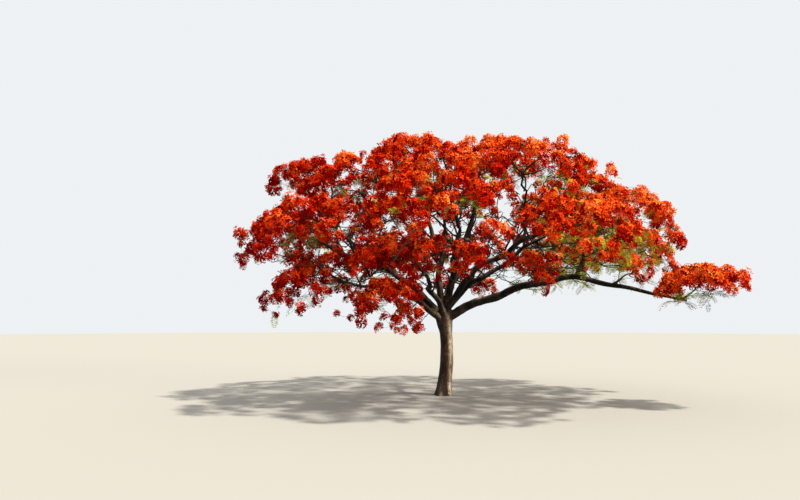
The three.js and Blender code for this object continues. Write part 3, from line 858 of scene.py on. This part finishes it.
def bark_material():
    """Grey-tan bark with pale patches, grain and cracks, painted sunlight and shade on its sides, painted
    shade where its relief is low, and darker up on the boughs, partly as painted shade; with ridges and
    pores.
    """
    made, shader = new_material("bark", 0.9, 0.2)
    nodes, links = made.node_tree.nodes, made.node_tree.links

    def node_of(kind, **values):
        node = nodes.new(kind)
        for name, value in values.items():
            node.inputs[name].default_value = value
        return node

    stretch = node_of("ShaderNodeMapping", Scale=(1.0, 1.0, BARK.stretch))
    links.new(node_of("ShaderNodeTexCoord").outputs["Object"], stretch.inputs["Vector"])

    def noise_of(scale, detail, roughness):
        node = node_of("ShaderNodeTexNoise", Scale=scale, Detail=detail, Roughness=roughness)
        links.new(stretch.outputs["Vector"], node.inputs["Vector"])
        return node.outputs["Fac"]

    def cracks_of(scale, wander):
        """How far a place is from the nearest crack; the cracks wander with the noise."""
        pushed = nodes.new("ShaderNodeVectorMath")
        pushed.operation = "MULTIPLY_ADD"
        links.new(wander.node.outputs["Color"], pushed.inputs[0])
        pushed.inputs[1].default_value = [BARK.push] * 3
        links.new(stretch.outputs["Vector"], pushed.inputs[2])
        node = node_of("ShaderNodeTexVoronoi", Scale=scale)
        node.feature = "DISTANCE_TO_EDGE"
        links.new(pushed.outputs["Vector"], node.inputs["Vector"])
        return node.outputs["Distance"]

    def attribute_of(name):
        node = nodes.new("ShaderNodeAttribute")
        node.attribute_name = name
        return node.outputs["Fac"]

    def ramp_of(source, stops):
        node = nodes.new("ShaderNodeValToRGB")
        while len(node.color_ramp.elements) < len(stops):
            node.color_ramp.elements.new(0.5)
        for element, (at, colour) in zip(node.color_ramp.elements, stops):
            element.position = at
            element.color = (*colour, 1)
        links.new(source, node.inputs["Fac"])
        return node.outputs["Color"]

    def mixed(kind, factor, a, b):
        node = nodes.new("ShaderNodeMix")
        node.data_type = "RGBA"
        node.blend_type = kind
        if isinstance(factor, float):
            node.inputs["Factor"].default_value = factor
        else:
            links.new(factor, node.inputs["Factor"])
        links.new(a, node.inputs["A"])
        links.new(b, node.inputs["B"])
        return node.outputs["Result"]

    def bumped(height, strength, distance, normal=None):
        node = node_of("ShaderNodeBump", Strength=strength, Distance=distance)
        links.new(height, node.inputs["Height"])
        if normal:
            links.new(normal, node.inputs["Normal"])
        return node.outputs["Normal"]

    patches = noise_of(BARK.patches, 5, 0.6)
    grain = noise_of(BARK.grain, 6, 0.7)
    pores = noise_of(BARK.pores, 3, 0.6)
    cracks = cracks_of(BARK.cracks, noise_of(BARK.wander, 5, 0.7))
    # The trunk's colours low down, the boughs' darker ones above, which are partly painted shade.
    tint = mixed("MIX", attribute_of("low"), ramp_of(patches, BARK.high), ramp_of(patches, BARK.low))
    # Painted sunlight and shade, by how far each place faces the light.
    tint = mixed("MULTIPLY", 1.0, tint, ramp_of(attribute_of("sunny"), BARK.sunny))
    # Painted shade where the relief and the flutes are low.
    tint = mixed("MULTIPLY", 0.9, tint, ramp_of(attribute_of("relief"), BARK.hollows))
    tint = mixed("MULTIPLY", 0.95, tint, ramp_of(grain, BARK.dark_grain))
    tint = mixed("MULTIPLY", 0.5, tint, ramp_of(cracks, BARK.in_cracks))
    links.new(tint, shader.inputs["Base Color"])
    normal = bumped(ramp_of(cracks, BARK.plates), 0.7, 0.012)
    normal = bumped(grain, 0.8, 0.02, normal)
    normal = bumped(pores, 0.4, 0.004, normal)
    links.new(normal, shader.inputs["Normal"])
    return made


def disc(sides, radius, middle):
    bpy.ops.object.select_all(action="DESELECT")
    bpy.ops.mesh.primitive_circle_add(vertices=sides, radius=radius, fill_type="NGON", location=tuple(middle))
    bpy.ops.object.transform_apply(location=True, rotation=True, scale=True)
    return bpy.context.object


# The trunk and the boughs.
def trunk_piece(trunk):
    """Extruded ring by ring from a disc a little under the ground. bark_piece cuts it off at the ground."""
    below, rings, sides = 0.06, 24, 40
    here = trunk.point_at(0) - np.array([0, 0, below])
    made = disc(sides, TRUNK.foot, here)
    bpy.ops.object.mode_set(mode="EDIT")
    bpy.ops.mesh.select_all(action="SELECT")
    radius = TRUNK.foot
    for s in np.linspace(0, 1, rings):
        there = trunk.point_at(s)
        bpy.ops.mesh.extrude_region_move(TRANSFORM_OT_translate={"value": tuple(there - here)})
        grow = trunk.radius_at(s) / radius
        bpy.ops.transform.resize(value=(grow, grow, 1), center_override=tuple(there))
        here, radius = there, trunk.radius_at(s)
    bpy.ops.mesh.select_all(action="SELECT")
    bpy.ops.mesh.normals_make_consistent(inside=False)
    bpy.ops.object.mode_set(mode="OBJECT")
    for v in made.data.vertices:
        flat = Vector((v.co.x, v.co.y, 0))
        if flat.length < 0.01 or v.co.z > TRUNK.flare_ends:
            continue
        rise = max(0.0, v.co.z) / TRUNK.flare_height
        angle = math.atan2(v.co.y, v.co.x)
        ribbed = 0.55 + 0.45 * math.cos(TRUNK.ribs * angle - TRUNK.ribs_turn)
        leftwards = 1 - TRUNK.flare_left * math.cos(angle)
        v.co += flat.normalized() * TRUNK.flare * math.exp(-rise) * (ribbed * leftwards)
    return made


def bough_piece(bough):
    """A bough is a curve with its own radius at each point, swept round and made a mesh."""
    bpy.ops.object.select_all(action="DESELECT")
    bpy.ops.curve.primitive_nurbs_path_add()
    made = bpy.context.object
    made.data.bevel_depth = 1.0
    made.data.bevel_resolution = 3
    made.data.use_fill_caps = True
    made.data.splines.clear()
    count = max(12, int(bough.length / 0.1))
    spline = made.data.splines.new("POLY")
    spline.points.add(count - 1)
    for point, s in zip(spline.points, np.linspace(0, 1, count)):
        point.co = (*bough.point_at(s), 1)
        point.radius = bough.radius_at(s)
    bpy.ops.object.convert(target="MESH")
    return bpy.context.object


def applied(obj, name, kind, **settings):
    modifier = obj.modifiers.new(name, kind)
    for key, value in settings.items():
        setattr(modifier, key, value)
    bpy.ops.object.modifier_apply(modifier=modifier.name)


# The bark's relief: waves to a metre along X, Y and Z, the share of each kind, and how deep they go by the
# limb's radius. On limbs stouter than shaded_from the flutes also add painted shade in their troughs.
RELIEF = Named(
    wrinkles=(16, 16, 7), flutes=(8, 8, 1.2), swellings=6, knobs=26, swelling=0.35, wrinkle=0.5, knob=0.3,
    depth=0.075, shallowest=0.0012, deepest=0.009, fluted_from=0.05, flute=0.25, flute_deepest=0.025,
    shaded_from=0.09, flute_shade=0.8,
)
# Above this height the trunk's colours give way to the boughs' darker ones, partly their own and partly
# painted shade of the crown, over the length given, and so do the ways from which the painted sunlight falls.
COLOURS_TURN = Named(from_height=1.3, over=1.0)
TRUNK_LIGHT, BOUGH_LIGHT = np.array([0.9, -0.14, 0.4]), np.array([0.42, -0.25, 0.86])


def raise_relief(bark, limbs):
    """Swellings, wrinkles and knobs, deeper on stouter limbs, with attributes for the material to read: the
    relief, with painted shade in its low places and flutes, the blend from trunk to boughs, and painted
    sunlight.
    """
    places, radii = limb_points(limbs, 0.05)
    tree = KDTree(len(places))
    for k, place in enumerate(places):
        tree.insert(place, k)
    tree.balance()
    mesh = bark.data
    count = len(mesh.vertices)
    relief, flutes, stout = np.zeros((3, count))

    def each(field):
        values = np.zeros(count * 3, np.float32)
        mesh.vertices.foreach_get(field, values)
        return values.reshape(-1, 3)

    co, normals = each("co"), each("normal")

    def waved_at(p, waves):
        return Vector((p.x * waves[0], p.y * waves[1], p.z * waves[2]))

    for k in range(count):
        p = Vector(co[k])
        stout[k] = radii[tree.find(p)[1]]
        wrinkle = noise.ridged_multi_fractal(waved_at(p, RELIEF.wrinkles), 1.0, 2.1, 4, 1.0, 2.0)
        swelling, knob = noise.noise(p * RELIEF.swellings), noise.noise(p * RELIEF.knobs)
        relief[k] = RELIEF.swelling * swelling + RELIEF.wrinkle * (wrinkle / 1.3 - 0.9) + RELIEF.knob * knob
        flutes[k] = noise.noise(waved_at(p, RELIEF.flutes))
    relief = np.clip(relief, -1, 1)
    depth = np.clip(RELIEF.depth * stout, RELIEF.shallowest, RELIEF.deepest)
    flute_depth = np.clip(RELIEF.flute * (stout - RELIEF.fluted_from), 0, RELIEF.flute_deepest)
    raised = relief * depth + flutes * flute_depth
    mesh.vertices.foreach_set("co", (co + normals * raised[:, None]).astype(np.float32).ravel())
    # The flutes are added to the relief's colour as painted shade in their troughs.
    relief = np.clip(relief + RELIEF.flute_shade * flutes * (stout > RELIEF.shaded_from), -1, 1)
    low = 1 - np.clip((co[:, 2] - COLOURS_TURN.from_height) / COLOURS_TURN.over, 0, 1)
    # sunny is painted sunlight: how far each place faces the light, from the right on the trunk and from
    # above on the boughs.
    light = unit(low[:, None] * TRUNK_LIGHT + (1 - low[:, None]) * BOUGH_LIGHT)
    sunny = 0.5 + 0.5 * np.sum(normals * light, axis=1)
    for name, values in (("relief", 0.5 + 0.5 * relief), ("low", low), ("sunny", sunny)):
        mesh.attributes.new(name, "FLOAT", "POINT").data.foreach_set("value", values.astype(np.float32))


def bark_piece(trunk, boughs):
    """Trunk and boughs run into one skin, with the relief of bark, and cut off flat at the ground."""
    parts = [trunk_piece(trunk)] + [bough_piece(bough) for bough in boughs]
    bpy.ops.object.select_all(action="DESELECT")
    for part in parts:
        part.select_set(True)
    bpy.context.view_layer.objects.active = parts[0]
    bpy.ops.object.join()
    bark = bpy.context.object
    bark.name = bark.data.name = "bark"
    applied(bark, "skin", "REMESH", mode="VOXEL", voxel_size=0.0178, adaptivity=0.0)
    applied(bark, "smooth", "SMOOTH", factor=0.5, iterations=5)
    raise_relief(bark, [trunk] + boughs)
    bpy.ops.object.mode_set(mode="EDIT")
    bpy.ops.mesh.select_all(action="SELECT")
    bpy.ops.mesh.bisect(plane_co=(0, 0, 0), plane_no=(0, 0, 1), use_fill=True, clear_inner=True)
    bpy.ops.object.mode_set(mode="OBJECT")
    bpy.ops.object.shade_smooth()
    bark.data.materials.clear()
    bark.data.materials.append(bark_material())
    finish_piece(bark, [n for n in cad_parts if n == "trunk" or n.startswith("bough_")])


# The setting: a pale floor under a pale sky, with a high key light and a weak, broad, low one from the right.
FLOOR = Named(radius=90, height=-0.002, colour=(0.36, 0.345, 0.31))
SKY = Named(colour=(0.95, 0.98, 1.0), strength=0.9)
SUNS = [
    Named(name="key", energy=5.2, breadth=4, towards=(-0.42, 0.2, -0.88)),
    Named(name="side", energy=2.4, breadth=20, towards=(-0.86, 0.5, -0.15)),
]
SUN_COLOUR = (1.0, 0.95, 0.86)
# The camera stands at eye height, with the horizon some pixels below the picture's middle.
CAMERA = Named(
    lens=28.0, sensor=36.0, place=(-1.023, -14.44, 1.65), horizon_below=72, pixels_per_radian=622.2
)


def make_stage():
    floor = disc(128, FLOOR.radius, (0, 0, FLOOR.height))
    floor.name = "floor"
    floor.data.materials.append(plain_material("floor", FLOOR.colour, 0.9))


def make_light():
    world = bpy.data.worlds.new("sky")
    world.use_nodes = True
    back = world.node_tree.nodes["Background"]
    back.inputs["Color"].default_value = (*SKY.colour, 1)
    back.inputs["Strength"].default_value = SKY.strength
    bpy.context.scene.world = world
    for sun in SUNS:
        lamp = bpy.data.lights.new(sun.name, "SUN")
        lamp.energy = sun.energy
        lamp.angle = math.radians(sun.breadth)
        lamp.color = SUN_COLOUR
        turned = Vector(sun.towards).to_track_quat("-Z", "Y").to_euler()
        linked(sun.name, lamp).rotation_euler = turned


def make_camera():
    data = bpy.data.cameras.new("camera")
    data.lens = CAMERA.lens
    data.sensor_width = CAMERA.sensor
    camera = linked("camera", data)
    camera.location = CAMERA.place
    pitch = math.atan(CAMERA.horizon_below / CAMERA.pixels_per_radian)
    camera.rotation_euler = (math.pi / 2 + pitch, 0, 0)
    bpy.context.scene.camera = camera
    bpy.context.scene.view_settings.view_transform = "Standard"


def main():
    make_camera()
    make_light()
    make_stage()
    masses = all_masses()
    trunk = trunk_limb()
    boughs = all_boughs(masses, trunk)
    limb_places, limb_radii = limb_points([trunk] + boughs, 0.06)
    bough_of = {bough.mass: bough for bough in boughs}
    grown = [grow_mass(mass, masses, bough_of[mass.name], limb_places, limb_radii) for mass in masses]
    inside = grow_inside(boughs, limb_places, limb_radii)
    rng = np.random.default_rng(SEEDS.all_else)
    bark_piece(trunk, boughs)
    twig_piece(grown, inside, rng)
    blossom_pieces(grown, inside, rng)
    leaf_pieces(grown, inside, rng)


main()
